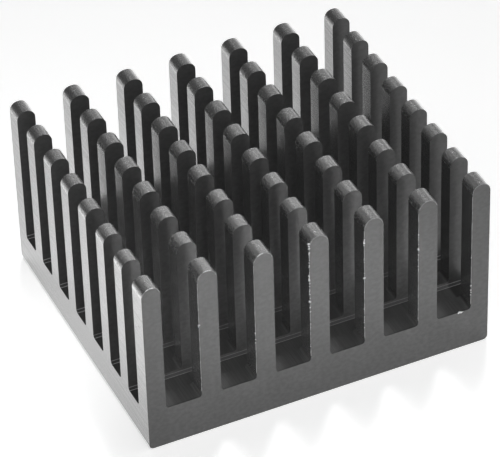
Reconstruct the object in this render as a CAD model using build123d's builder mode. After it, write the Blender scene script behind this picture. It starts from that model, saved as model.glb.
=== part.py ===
import os

from build123d import *

# Pin-fin heat sink for a flat-topped component, one extruded and cross-cut block.
# Millimetres, +Z up, origin at the centre of the flat base face.
# The extrusion runs along Y. The saw cuts run along X.

# Overall block
base_width = 45.0
base_length = 40.0
overall_height = 24.3

# Extruded comb, seen along Y
channel_count = 6
channel_width = 4.6
channel_floor_height = 5.6
edge_fin_thickness = 2.375
crown_radius = 1.14
channel_root_radius = 0.4
base_edge_radius = 0.6

# Cross cuts, seen along X
slot_count = 7
slot_width = 3.07
slot_step = 0.65
slot_corner_chamfer = 0.28
front_pin_depth = 2.64
back_pin_depth = 2.43
cutter_overrun = 2.0

# A fin's two top rounds together take up no more than this share of its thickness
full_round_share = 0.98

# Sizes that follow from the ones above
channel_pitch = (base_width - 2 * edge_fin_thickness - channel_width) / (channel_count - 1)
inner_fin_thickness = channel_pitch - channel_width
thinnest_fin = min(edge_fin_thickness, inner_fin_thickness)
fin_top_radius = min(crown_radius, full_round_share * thinnest_fin / 2)
slotted_span = base_length - front_pin_depth - back_pin_depth
slot_pitch = (slotted_span - slot_width) / (slot_count - 1)
slot_field_centre = (front_pin_depth - back_pin_depth) / 2
slot_floor_height = channel_floor_height - slot_step

with BuildPart() as heat_sink:
    # The extruded section: a base with seven upright fins
    with BuildSketch(Plane.XZ) as comb_section:
        Rectangle(base_width, overall_height, align=(Align.CENTER, Align.MIN))
        with Locations((0, channel_floor_height)):
            with GridLocations(channel_pitch, 0, channel_count, 1):
                Rectangle(
                    channel_width,
                    overall_height - channel_floor_height,
                    align=(Align.CENTER, Align.MIN),
                    mode=Mode.SUBTRACT,
                )
        # Corner levels from the bottom up are the base edge, the channel floors and the fin tops
        fillet(comb_section.vertices().group_by(Axis.Y)[-1], radius=fin_top_radius)
        fillet(comb_section.vertices().group_by(Axis.Y)[1], radius=channel_root_radius)
        fillet(comb_section.vertices().group_by(Axis.Y)[0], radius=base_edge_radius)
    extrude(amount=base_length / 2, both=True)

    # The saw cuts across the fins leave rows of separate pins
    with BuildSketch(Plane.YZ) as slot_section:
        with Locations((slot_field_centre, slot_floor_height)):
            with GridLocations(slot_pitch, 0, slot_count, 1):
                Rectangle(
                    slot_width,
                    overall_height - slot_floor_height + cutter_overrun,
                    align=(Align.CENTER, Align.MIN),
                )
        chamfer(slot_section.vertices().group_by(Axis.Y)[0], length=slot_corner_chamfer)
    extrude(amount=base_width / 2 + cutter_overrun, both=True, mode=Mode.SUBTRACT)

heat_sink.part.label = "heat_sink"

os.makedirs("parts", exist_ok=True)
export_step(heat_sink.part, "parts/heat_sink.step")
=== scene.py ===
import math
import random

import bpy
from mathutils import Matrix, Vector


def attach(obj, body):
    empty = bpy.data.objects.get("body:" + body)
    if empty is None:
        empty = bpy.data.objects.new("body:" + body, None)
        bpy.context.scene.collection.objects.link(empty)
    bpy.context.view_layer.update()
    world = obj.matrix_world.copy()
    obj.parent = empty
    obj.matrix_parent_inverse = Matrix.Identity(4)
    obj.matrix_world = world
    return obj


MM = 0.001
WHITE = (1.0, 1.0, 1.0, 1.0)

# Camera, fitted to the photograph's edges
AIM_POINT = Vector((-0.085, -0.604, 11.423)) * MM
CAMERA_DISTANCE = 435.195 * MM
CAMERA_HEADING = math.radians(23.853)
CAMERA_ELEVATION = math.radians(38.894)
CAMERA_ROLL = math.radians(-1.823)
SENSOR_WIDTH = 36.0
FOCAL_LENGTH = 257.05
CLIP_START = 0.01
CLIP_END = 20.0

# Sizes of the CAD part, in millimetres, that the finish and the small marks are placed by
BASE_WIDTH = 45.0
BASE_LENGTH = 40.0
OVERALL_HEIGHT = 24.3
EDGE_FIN_THICKNESS = 2.375
CHANNEL_COUNT = 6
CHANNEL_WIDTH = 4.6
CHANNEL_FLOOR_HEIGHT = 5.6
CROWN_RADIUS = 1.14
SLOT_COUNT = 7
SLOT_WIDTH = 3.07
SLOT_FLOOR_HEIGHT = 4.95
SLOT_CORNER_CHAMFER = 0.28
FRONT_PIN_DEPTH = 2.64
BACK_PIN_DEPTH = 2.43

CHANNEL_PITCH = (BASE_WIDTH - 2 * EDGE_FIN_THICKNESS - CHANNEL_WIDTH) / (CHANNEL_COUNT - 1)
INNER_FIN_THICKNESS = CHANNEL_PITCH - CHANNEL_WIDTH
SLOT_PITCH = (BASE_LENGTH - FRONT_PIN_DEPTH - BACK_PIN_DEPTH - SLOT_WIDTH) / (SLOT_COUNT - 1)
LEFT_FACE = -BASE_WIDTH / 2
FRONT_FACE = -BASE_LENGTH / 2
CROWN_CENTRE_LEVEL = OVERALL_HEIGHT - CROWN_RADIUS

# Where a finish starts and where it is full: sawn by how far the normal leans toward Y, the others
# by level and, for deep, by how far inside the edge fins and the end faces it is, in millimetres.
# Deep is no finish: there the grey is painted paler, as painted light that lifts the shade between the
# pins
SAWN_LEAN = (0.62, 0.82)
CROWN_LEVELS = (22.8, 23.4)
DEEP_LEVELS = (26.0, 9.0)
DEEP_MARGINS = (0.05, -0.3)

# Length of the grains along X, Y and Z in millimetres, and how fine their detail is
DIE_LINES = ((0.10, 60.0, 0.10), 1.0)
SAW_GRAIN = ((0.6, 0.4, 0.45), 3.0)
SCUFFS = ((0.2, 0.45, 0.2), 2.0)
SCUFF_CONTRAST = (0.35, 0.65)
STREAK_GRAIN = (0.3, 0.7)
STREAK_RANGE = (0.88, 1.12)
BUMP_STRENGTH = 0.5
BUMP_HEIGHT = 0.02 * MM

# The dyed body's grey: drawn and sawn, and the same deep between the pins painted paler, as painted
# light that lifts the shade there
DRAWN_TONE = 0.032
SAWN_TONE = 0.067
DEEP_DRAWN_PAINTED_LIGHT_TONE = 0.085
DEEP_SAWN_PAINTED_LIGHT_TONE = 0.19
BODY_ROUGHNESS = 0.5
BODY_SPECULAR = 0.3

# The sheen's roughness, how late it rises toward grazing angles and how strong it gets
SHEEN_ROUGHNESS = 0.24
SHEEN_POWER = 2.76
SHEEN_SHARE = 0.98
DEEP_SHEEN_SHARE = 1.3
CROWN_SHEEN_ROUGHNESS = 0.26
CROWN_SHEEN_POWER = 1.7
CROWN_SHEEN_SHARE = 1.12

# Thickness of the thin beads, in millimetres: the scratch, the crown burrs, and the pale beads that are
# painted highlights on the pin edges, rims and saw-cut chamfers
SCRATCH_RADIUS = 0.045
CROWN_BURR_RADIUS = 0.075
EDGE_HIGHLIGHT_RADIUS = 0.03
CORNER_LINE_RADIUS = 0.035

# Studio: a white tent, brightest at the left, whose walls in these directions lose this much
TENT_STRENGTH = 1.0
TENT_DARKEST = 0.1
DULL_WALLS = [
    (Vector((-0.1, 0.85, 0.6)), 0.65),
    (Vector((1.0, 0.0, 0.3)), 0.25),
    (Vector((-0.7, 0.7, 0.1)), 0.65),
    (Vector((0.0, -1.0, 0.3)), 0.30),
    (Vector((0.0, 0.0, 1.0)), 0.40),
]
WALL_EDGE = math.cos(math.radians(60))
WALL_MIDDLE = math.cos(math.radians(25))

# The floor's paper, half its size in metres, and what is added where camera, metal or glass shows it
PAPER_GREY = (0.85, 0.85, 0.85, 1.0)
PAPER_HALF_SIZE = 3.0
PAPER_LIFT = 0.5

SCENE = bpy.context.scene


def new_material(name):
    """A node material with an empty tree apart from its output."""
    material = bpy.data.materials.new(name)
    material.use_nodes = True
    tree = material.node_tree
    tree.nodes.clear()
    output = tree.nodes.new("ShaderNodeOutputMaterial")
    return material, tree, output


def math_node(tree, operation, first, second=None, clamp=False):
    """A Math node. An operand is an output socket or a number."""
    node = tree.nodes.new("ShaderNodeMath")
    node.operation = operation
    node.use_clamp = clamp
    for socket, value in zip(node.inputs, (first, second)):
        if isinstance(value, (int, float)):
            socket.default_value = value
        elif value is not None:
            tree.links.new(value, socket)
    return node.outputs["Value"]


def smooth_step(tree, value, start, end, low=0.0, high=1.0):
    """Goes smoothly from low at start to high at end."""
    node = tree.nodes.new("ShaderNodeMapRange")
    node.interpolation_type = "SMOOTHSTEP"
    tree.links.new(value, node.inputs["Value"])
    node.inputs["From Min"].default_value = start
    node.inputs["From Max"].default_value = end
    node.inputs["To Min"].default_value = low
    node.inputs["To Max"].default_value = high
    return node.outputs["Result"]


def mix_by(tree, factor, first, second):
    """A float between two others, each a number or an output socket."""
    node = tree.nodes.new("ShaderNodeMix")
    node.data_type = "FLOAT"
    tree.links.new(factor, node.inputs["Factor"])
    for name, value in (("A", first), ("B", second)):
        if isinstance(value, (int, float)):
            node.inputs[name].default_value = value
        else:
            tree.links.new(value, node.inputs[name])
    return node.outputs["Result"]


def stretched_noise(tree, position, periods, detail):
    """Noise whose grains are about as long as periods, in millimetres along each axis."""
    mapping = tree.nodes.new("ShaderNodeMapping")
    mapping.inputs["Scale"].default_value = [1.0 / (period * MM) for period in periods]
    tree.links.new(position, mapping.inputs["Vector"])
    noise = tree.nodes.new("ShaderNodeTexNoise")
    noise.inputs["Scale"].default_value = 1.0
    noise.inputs["Detail"].default_value = detail
    tree.links.new(mapping.outputs["Vector"], noise.inputs["Vector"])
    return noise.outputs["Fac"]


def split(tree, vector):
    """The X, Y and Z sockets of a vector."""
    node = tree.nodes.new("ShaderNodeSeparateXYZ")
    tree.links.new(vector, node.inputs["Vector"])
    return node.outputs


def finish_zones(tree, place):
    """How far each spot is sawn, is a rubbed pin top and lies deep between the pins, from 0 to 1."""
    normal = split(tree, place.outputs["Normal"])
    position = split(tree, place.outputs["Object"])
    sawn = smooth_step(tree, math_node(tree, "ABSOLUTE", normal["Y"]), *SAWN_LEAN)
    drawn = math_node(tree, "SUBTRACT", 1.0, sawn)
    near_top = smooth_step(tree, position["Z"], *(level * MM for level in CROWN_LEVELS))
    crown = math_node(tree, "MULTIPLY", drawn, near_top)
    deep = smooth_step(tree, position["Z"], *(level * MM for level in DEEP_LEVELS))
    for axis, outside in (("X", BASE_WIDTH / 2 - EDGE_FIN_THICKNESS), ("Y", BASE_LENGTH / 2)):
        away = math_node(tree, "ABSOLUTE", position[axis])
        within = smooth_step(tree, away, *((outside + margin) * MM for margin in DEEP_MARGINS))
        deep = math_node(tree, "MULTIPLY", deep, within)
    return sawn, crown, deep


def finish_grain(tree, position, sawn, crown):
    """Die lines where the metal was drawn, a coarser grain where it was sawn, scuffs on the pin tops."""
    die_lines = stretched_noise(tree, position, *DIE_LINES)
    saw_grain = stretched_noise(tree, position, *SAW_GRAIN)
    scuffs = smooth_step(tree, stretched_noise(tree, position, *SCUFFS), *SCUFF_CONTRAST)
    return mix_by(tree, crown, mix_by(tree, sawn, die_lines, saw_grain), scuffs)


def bumped_normal(tree, height):
    """The normal with the grain's small bumps."""
    bump = tree.nodes.new("ShaderNodeBump")
    bump.inputs["Strength"].default_value = BUMP_STRENGTH
    bump.inputs["Distance"].default_value = BUMP_HEIGHT
    tree.links.new(height, bump.inputs["Height"])
    return bump.outputs["Normal"]


def dyed_body(tree, tone, normal):
    """The matt black under the sheen."""
    body = tree.nodes.new("ShaderNodeBsdfPrincipled")
    body.inputs["Roughness"].default_value = BODY_ROUGHNESS
    body.inputs["Specular IOR Level"].default_value = BODY_SPECULAR
    tree.links.new(tone, body.inputs["Base Color"])
    tree.links.new(normal, body.inputs["Normal"])
    return body.outputs["BSDF"]


def metal_sheen(tree, roughness, normal):
    """The uncoloured satin sheen over the body."""
    sheen = tree.nodes.new("ShaderNodeBsdfPrincipled")
    sheen.inputs["Base Color"].default_value = WHITE
    sheen.inputs["Metallic"].default_value = 1.0
    tree.links.new(roughness, sheen.inputs["Roughness"])
    tree.links.new(normal, sheen.inputs["Normal"])
    return sheen.outputs["BSDF"]


def sheen_amount(tree, crown, deep, streaks):
    """How much sheen covers the body: little face on, more toward grazing angles."""
    weight = tree.nodes.new("ShaderNodeLayerWeight")
    # At this blend, Facing is one minus the cosine of the viewing angle
    weight.inputs["Blend"].default_value = 0.5
    power = mix_by(tree, crown, SHEEN_POWER, CROWN_SHEEN_POWER)
    edge_on = math_node(tree, "POWER", weight.outputs["Facing"], power)
    side_share = mix_by(tree, deep, SHEEN_SHARE, DEEP_SHEEN_SHARE)
    share = mix_by(tree, crown, side_share, CROWN_SHEEN_SHARE)
    streaked_share = math_node(tree, "MULTIPLY", share, streaks)
    return math_node(tree, "MULTIPLY", edge_on, streaked_share, clamp=True)


def anodised_material():
    """Black anodised aluminium: drawn along Y, sawn across and scuffed at the top.
    Deep down its grey is painted paler, as painted light that lifts the shade between the pins.
    """
    material, tree, output = new_material("black_anodised_satin")
    place = tree.nodes.new("ShaderNodeTexCoord")
    sawn, crown, deep = finish_zones(tree, place)
    grain = finish_grain(tree, place.outputs["Object"], sawn, crown)
    streaks = smooth_step(tree, grain, *STREAK_GRAIN, *STREAK_RANGE)
    normal = bumped_normal(tree, grain)

    shallow_tone = mix_by(tree, sawn, DRAWN_TONE, SAWN_TONE)
    # Deep between the pins the grey is painted paler: painted light that lifts the shade there
    deep_painted_light_tone = mix_by(tree, sawn, DEEP_DRAWN_PAINTED_LIGHT_TONE, DEEP_SAWN_PAINTED_LIGHT_TONE)
    tone = math_node(tree, "MULTIPLY", mix_by(tree, deep, shallow_tone, deep_painted_light_tone), streaks)
    roughness = mix_by(tree, crown, SHEEN_ROUGHNESS, CROWN_SHEEN_ROUGHNESS)
    polish = math_node(tree, "DIVIDE", roughness, streaks)

    mix = tree.nodes.new("ShaderNodeMixShader")
    tree.links.new(sheen_amount(tree, crown, deep, streaks), mix.inputs["Fac"])
    tree.links.new(dyed_body(tree, tone, normal), mix.inputs[1])
    tree.links.new(metal_sheen(tree, polish, normal), mix.inputs[2])
    tree.links.new(mix.outputs["Shader"], output.inputs["Surface"])
    return material


def plain_material(name, colour, metallic, roughness):
    """One even Principled surface."""
    material, tree, output = new_material(name)
    shader = tree.nodes.new("ShaderNodeBsdfPrincipled")
    shader.inputs["Base Color"].default_value = (*colour, 1.0)
    shader.inputs["Metallic"].default_value = metallic
    shader.inputs["Roughness"].default_value = roughness
    tree.links.new(shader.outputs["BSDF"], output.inputs["Surface"])
    return material


def add_piece(name, vertices, faces, material):
    """A mesh piece in millimetres that rides with the heat sink."""
    mesh = bpy.data.meshes.new(name)
    mesh.from_pydata([tuple(value * MM for value in vertex) for vertex in vertices], [], faces)
    mesh.materials.append(material)
    piece = bpy.data.objects.new(name, mesh)
    SCENE.collection.objects.link(piece)
    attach(piece, "root")


def chip_shape(centre, size, rng):
    """An uneven eight-sided crumb of metal, about size across."""
    spokes = [(1, 0, 0), (-1, 0, 0), (0, 1, 0), (0, -1, 0), (0, 0, 1), (0, 0, -1)]
    vertices = []
    for spoke in spokes:
        reach = size / 2 * rng.uniform(0.6, 1.2)
        vertices.append(tuple(middle + way * reach + rng.uniform(-0.1, 0.1) * size
                              for middle, way in zip(centre, spoke)))
    faces = [(0, 2, 4), (2, 1, 4), (1, 3, 4), (3, 0, 4), (2, 0, 5), (1, 2, 5), (3, 1, 5), (0, 3, 5)]
    return vertices, faces


def bead_shape(path, radius, rng=None):
    """A thin four-sided bead along path. With rng its thickness varies from point to point."""
    vertices, faces = [], []
    for index, point in enumerate(path):
        ahead = Vector(path[min(index + 1, len(path) - 1)])
        behind = Vector(path[max(index - 1, 0)])
        along = (ahead - behind).normalized()
        across = Vector((0, 1, 0)) if abs(along.y) < 0.9 else Vector((0, 0, 1))
        side = along.cross(across).normalized()
        other = along.cross(side)
        reach = radius * (rng.uniform(0.35, 1.3) if rng else 1.0)
        for turn in (side, other, -side, -other):
            vertices.append(tuple(Vector(point) + turn * reach))
        if index:
            start = 4 * index
            for k in range(4):
                after = (k + 1) % 4
                faces.append((start - 4 + k, start - 4 + after, start + after, start + k))
    faces.append((3, 2, 1, 0))
    last = len(vertices)
    faces.append((last - 4, last - 3, last - 2, last - 1))
    return vertices, faces


def joined(shapes):
    """One vertex list and one face list from many."""
    vertices, faces = [], []
    for shape_vertices, shape_faces in shapes:
        offset = len(vertices)
        vertices += shape_vertices
        faces += [tuple(offset + index for index in face) for face in shape_faces]
    return vertices, faces


def fin_left(fin):
    """X of the left side of a fin, counted from the left."""
    if fin == 0:
        return LEFT_FACE
    return LEFT_FACE + EDGE_FIN_THICKNESS + CHANNEL_WIDTH + (fin - 1) * CHANNEL_PITCH


def fin_middle(fin):
    """X of the middle of a fin. The edge fins are a little thinner than the inner ones."""
    thickness = EDGE_FIN_THICKNESS if fin in (0, CHANNEL_COUNT) else INNER_FIN_THICKNESS
    return fin_left(fin) + thickness / 2


def slot_back(slot):
    """Y of a saw cut's far wall, counted from the front."""
    return FRONT_FACE + FRONT_PIN_DEPTH + slot * SLOT_PITCH + SLOT_WIDTH


def add_edge_burrs(metal):
    """Bare crumbs on the left edges of the front pins, where the saw left the fins."""
    rng = random.Random(5)
    # Fin, lowest and highest level, number of crumbs and their size
    runs = [
        (1, 16.3, 16.8, 2, 0.24),
        (2, 11.0, 13.0, 5, 0.16),
        (3, 22.8, 23.7, 6, 0.32),
        (3, 18.0, 19.0, 6, 0.30),
        (3, 14.8, 15.1, 2, 0.42),
        (3, 13.0, 22.5, 34, 0.18),
        (3, 7.0, 13.0, 9, 0.12),
        (4, 20.3, 21.6, 7, 0.29),
        (4, 15.4, 15.8, 2, 0.28),
        (4, 8.0, 20.0, 18, 0.14),
        (5, 17.3, 17.7, 3, 0.30),
        (5, 14.0, 20.0, 14, 0.14),
        (6, 13.5, 13.8, 1, 0.20),
        (6, 7.6, 9.3, 7, 0.18),
    ]
    shapes = []
    for fin, low, high, count, size in runs:
        for _ in range(count):
            level = rng.uniform(low, high)
            x = fin_left(fin) + rng.uniform(-0.04, 0.03)
            y = FRONT_FACE + rng.uniform(-0.01, 0.03)
            shapes.append(chip_shape((x, y, level), size * rng.uniform(0.7, 1.2), rng))
    add_piece("edge_burrs", *joined(shapes), metal)


def add_nicks(metal):
    """A knocked spot on the last channel's front lip and a scratch on the left face."""
    rng = random.Random(11)
    lip_x, lip_y, lip_z = 18.69, FRONT_FACE + 0.02, CHANNEL_FLOOR_HEIGHT - 0.05
    # Steps along X and Z from the middle of the knock, and the crumb's size
    crumbs = [(-0.16, -0.02, 0.38), (0.06, 0.03, 0.46), (0.24, 0.0, 0.34)]
    shapes = [chip_shape((lip_x + dx, lip_y, lip_z + dz), size, rng) for dx, dz, size in crumbs]
    scratch_x, scratch_y, scratch_z = LEFT_FACE - 0.01, -18.75, 17.86
    scratch = [(scratch_x, scratch_y + 0.09 * step, scratch_z + 0.01 * step) for step in range(7)]
    shapes.append(bead_shape(scratch, SCRATCH_RADIUS, rng))
    add_piece("nicks", *joined(shapes), metal)


def add_crown_burrs(metal):
    """Thin bright burrs along the front rim of three crowns."""
    rng = random.Random(3)
    # Fin and the stretch across its crown, from -1 at its left side to 1 at its right side
    stretches = [(0, -0.55, 0.30), (1, -0.40, 0.50), (2, -0.62, 0.05)]
    steps = 12
    shapes = []
    for fin, start, end in stretches:
        path = []
        for step in range(steps + 1):
            across = (start + (end - start) * step / steps) * CROWN_RADIUS
            level = CROWN_CENTRE_LEVEL + math.sqrt(CROWN_RADIUS ** 2 - across ** 2)
            path.append((fin_middle(fin) + across, FRONT_FACE + 0.01, level))
        shapes.append(bead_shape(path, CROWN_BURR_RADIUS, rng))
    add_piece("crown_burrs", *joined(shapes), metal)


def edge_highlight_line(fin, rng):
    """A painted highlight bead along the left edge of a front pin, from just above the channel's root to
    just below the crown.
    """
    lowest, step_height, points = 6.4, 0.35, 48
    path = [(fin_left(fin), FRONT_FACE, lowest + step * step_height) for step in range(points)]
    return bead_shape(path, EDGE_HIGHLIGHT_RADIUS, rng)


def crown_rim(fin):
    """A painted highlight bead along the round front rim of a front pin."""
    path = []
    for degrees in range(-80, 90, 10):
        angle = math.radians(degrees)
        x = fin_middle(fin) + CROWN_RADIUS * math.sin(angle)
        path.append((x, FRONT_FACE, CROWN_CENTRE_LEVEL + CROWN_RADIUS * math.cos(angle)))
    return bead_shape(path, EDGE_HIGHLIGHT_RADIUS)


def corner_lines(slot):
    """Painted highlight beads along the two edges of the chamfer in a saw cut's far corner."""
    wall = slot_back(slot)
    edges = [(wall - SLOT_CORNER_CHAMFER, SLOT_FLOOR_HEIGHT),
             (wall, SLOT_FLOOR_HEIGHT + SLOT_CORNER_CHAMFER)]
    return [bead_shape([(LEFT_FACE, y, z), (-LEFT_FACE, y, z)], CORNER_LINE_RADIUS) for y, z in edges]


def add_painted_highlight_edges(painted_highlight):
    """Painted highlights as pale beads on edges: the front pins' left edges and rims, and the lines in
    the saw cuts.
    """
    rng = random.Random(8)
    shapes = [edge_highlight_line(fin, rng) for fin in range(1, CHANNEL_COUNT + 1)]
    shapes += [crown_rim(fin) for fin in range(CHANNEL_COUNT + 1)]
    for slot in range(SLOT_COUNT):
        shapes += corner_lines(slot)
    add_piece("painted_highlight_edges", *joined(shapes), painted_highlight)


def floor_material():
    """White paper with a soft shadow, lifted to white where the camera, metal or glass shows it."""
    material, tree, output = new_material("white_paper")
    paper = tree.nodes.new("ShaderNodeBsdfDiffuse")
    paper.inputs["Color"].default_value = PAPER_GREY
    path = tree.nodes.new("ShaderNodeLightPath")
    shown = math_node(tree, "ADD", path.outputs["Is Camera Ray"], path.outputs["Is Glossy Ray"])
    shown = math_node(tree, "ADD", shown, path.outputs["Is Transmission Ray"], clamp=True)
    lift = tree.nodes.new("ShaderNodeEmission")
    tree.links.new(math_node(tree, "MULTIPLY", shown, PAPER_LIFT), lift.inputs["Strength"])
    lifted_paper = tree.nodes.new("ShaderNodeAddShader")
    tree.links.new(paper.outputs["BSDF"], lifted_paper.inputs[0])
    tree.links.new(lift.outputs["Emission"], lifted_paper.inputs[1])
    tree.links.new(lifted_paper.outputs["Shader"], output.inputs["Surface"])
    return material


def add_floor():
    """A wide paper floor under the base face."""
    half = PAPER_HALF_SIZE
    mesh = bpy.data.meshes.new("paper_floor")
    corners = [(-half, -half, 0.0), (half, -half, 0.0), (half, half, 0.0), (-half, half, 0.0)]
    mesh.from_pydata(corners, [], [(0, 1, 2, 3)])
    mesh.materials.append(floor_material())
    floor = bpy.data.objects.new("paper_floor", mesh)
    SCENE.collection.objects.link(floor)


def add_world():
    """A white tent all round, with some duller walls."""
    world = bpy.data.worlds.new("studio")
    world.use_nodes = True
    tree = world.node_tree
    tree.nodes.clear()
    output = tree.nodes.new("ShaderNodeOutputWorld")
    place = tree.nodes.new("ShaderNodeTexCoord")
    strength = TENT_STRENGTH
    for direction, loss in DULL_WALLS:
        toward_wall = tree.nodes.new("ShaderNodeVectorMath")
        toward_wall.operation = "DOT_PRODUCT"
        toward_wall.inputs[1].default_value = direction.normalized()
        tree.links.new(place.outputs["Generated"], toward_wall.inputs[0])
        wall = smooth_step(tree, toward_wall.outputs["Value"], WALL_EDGE, WALL_MIDDLE, 0.0, loss)
        strength = math_node(tree, "SUBTRACT", strength, wall)
    strength = math_node(tree, "MAXIMUM", strength, TENT_DARKEST)
    tent = tree.nodes.new("ShaderNodeBackground")
    tent.inputs["Color"].default_value = WHITE
    tree.links.new(strength, tent.inputs["Strength"])
    tree.links.new(tent.outputs["Background"], output.inputs["Surface"])
    SCENE.world = world


def hang_lamp(lamp, location, pointing):
    """Puts a lamp at a place in metres, shining along pointing, and gives its object."""
    holder = bpy.data.objects.new(lamp.name, lamp)
    holder.location = location
    holder.rotation_mode = "QUATERNION"
    holder.rotation_quaternion = pointing.to_track_quat("-Z", "Y")
    SCENE.collection.objects.link(holder)
    return holder


def add_spot(name, target, toward_lamp, distance, reach, edge_blend, softness, level):
    """A snooted lamp aimed at target, which is in millimetres. The other lengths are in metres:
    reach is its beam's radius at the target. level is what it would add to white paper there."""
    toward_lamp = Vector(toward_lamp).normalized()
    lamp = bpy.data.lights.new(name, "SPOT")
    lamp.spot_size = 2 * math.atan(reach / distance)
    lamp.spot_blend = edge_blend
    lamp.shadow_soft_size = softness
    lamp.energy = level * 4 * math.pi ** 2 * distance ** 2
    hang_lamp(lamp, Vector(target) * MM + toward_lamp * distance, -toward_lamp)


def add_panel(name, centre, size, target, level, spread_degrees=180):
    """A rectangular lamp in millimetres, turned to target. level is its brightness next to white."""
    lamp = bpy.data.lights.new(name, "AREA")
    lamp.shape = "RECTANGLE"
    lamp.size = size[0] * MM
    lamp.size_y = size[1] * MM
    lamp.spread = math.radians(spread_degrees)
    lamp.energy = level * math.pi * lamp.size * lamp.size_y
    holder = hang_lamp(lamp, Vector(centre) * MM, Vector(target) - Vector(centre))
    holder.visible_camera = False


def add_lamps():
    """Lamps for the pin tops and for the paper in front and at the left, which the sides mirror."""
    add_spot("corner_lamp", target=(-40, -48, 0), toward_lamp=(0.23, 0.40, 0.887), distance=0.8,
             reach=0.075, edge_blend=0.45, softness=0.08, level=0.68)
    add_spot("left_glow", target=(-44, 3, 0), toward_lamp=(0, 0, 1), distance=0.8,
             reach=0.030, edge_blend=1.0, softness=0.01, level=0.54)
    add_panel("crown_strip", centre=(-10, 27, 59), size=(92, 23), target=(-10, -15, 24), level=0.64)
    add_panel("front_glow", centre=(4, -58, 300), size=(40, 44), target=(4, -58, 0), level=1.6,
              spread_degrees=5)


def add_camera():
    """The photograph's viewpoint, level apart from a slight roll."""
    forward = Vector((
        math.sin(CAMERA_HEADING) * math.cos(CAMERA_ELEVATION),
        math.cos(CAMERA_HEADING) * math.cos(CAMERA_ELEVATION),
        -math.sin(CAMERA_ELEVATION),
    ))
    level_right = forward.cross(Vector((0.0, 0.0, 1.0))).normalized()
    level_up = level_right.cross(forward)
    right = math.cos(CAMERA_ROLL) * level_right + math.sin(CAMERA_ROLL) * level_up
    up = right.cross(forward)
    camera = bpy.data.cameras.new("photo_camera")
    camera.sensor_width = SENSOR_WIDTH
    camera.lens = FOCAL_LENGTH
    camera.clip_start = CLIP_START
    camera.clip_end = CLIP_END
    holder = bpy.data.objects.new("photo_camera", camera)
    turn = Matrix((right, up, -forward)).transposed().to_4x4()
    holder.matrix_world = Matrix.Translation(AIM_POINT - forward * CAMERA_DISTANCE) @ turn
    SCENE.collection.objects.link(holder)
    SCENE.camera = holder


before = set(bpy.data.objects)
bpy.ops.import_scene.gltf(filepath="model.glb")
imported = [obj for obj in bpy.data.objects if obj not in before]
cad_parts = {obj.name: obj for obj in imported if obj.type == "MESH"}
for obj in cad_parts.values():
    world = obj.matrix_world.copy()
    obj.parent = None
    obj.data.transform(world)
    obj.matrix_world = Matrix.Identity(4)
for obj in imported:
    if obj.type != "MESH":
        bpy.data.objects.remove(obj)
bpy.context.view_layer.update()

heat_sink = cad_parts["heat_sink"]
heat_sink.material_slots[0].link = "OBJECT"
heat_sink.material_slots[0].material = anodised_material()

bare_metal = plain_material("bare_aluminium", colour=(0.92, 0.92, 0.93), metallic=0.3, roughness=0.4)
# A pale grey for the beads that are painted edge highlights
painted_highlight_finish = plain_material("painted_highlight_anodised", colour=(0.40, 0.40, 0.405), metallic=0.0, roughness=0.4)
add_edge_burrs(bare_metal)
add_nicks(bare_metal)
add_crown_burrs(bare_metal)
add_painted_highlight_edges(painted_highlight_finish)

add_floor()
add_world()
add_lamps()
add_camera()
SCENE.view_settings.view_transform = "Standard"

bpy.context.view_layer.update()
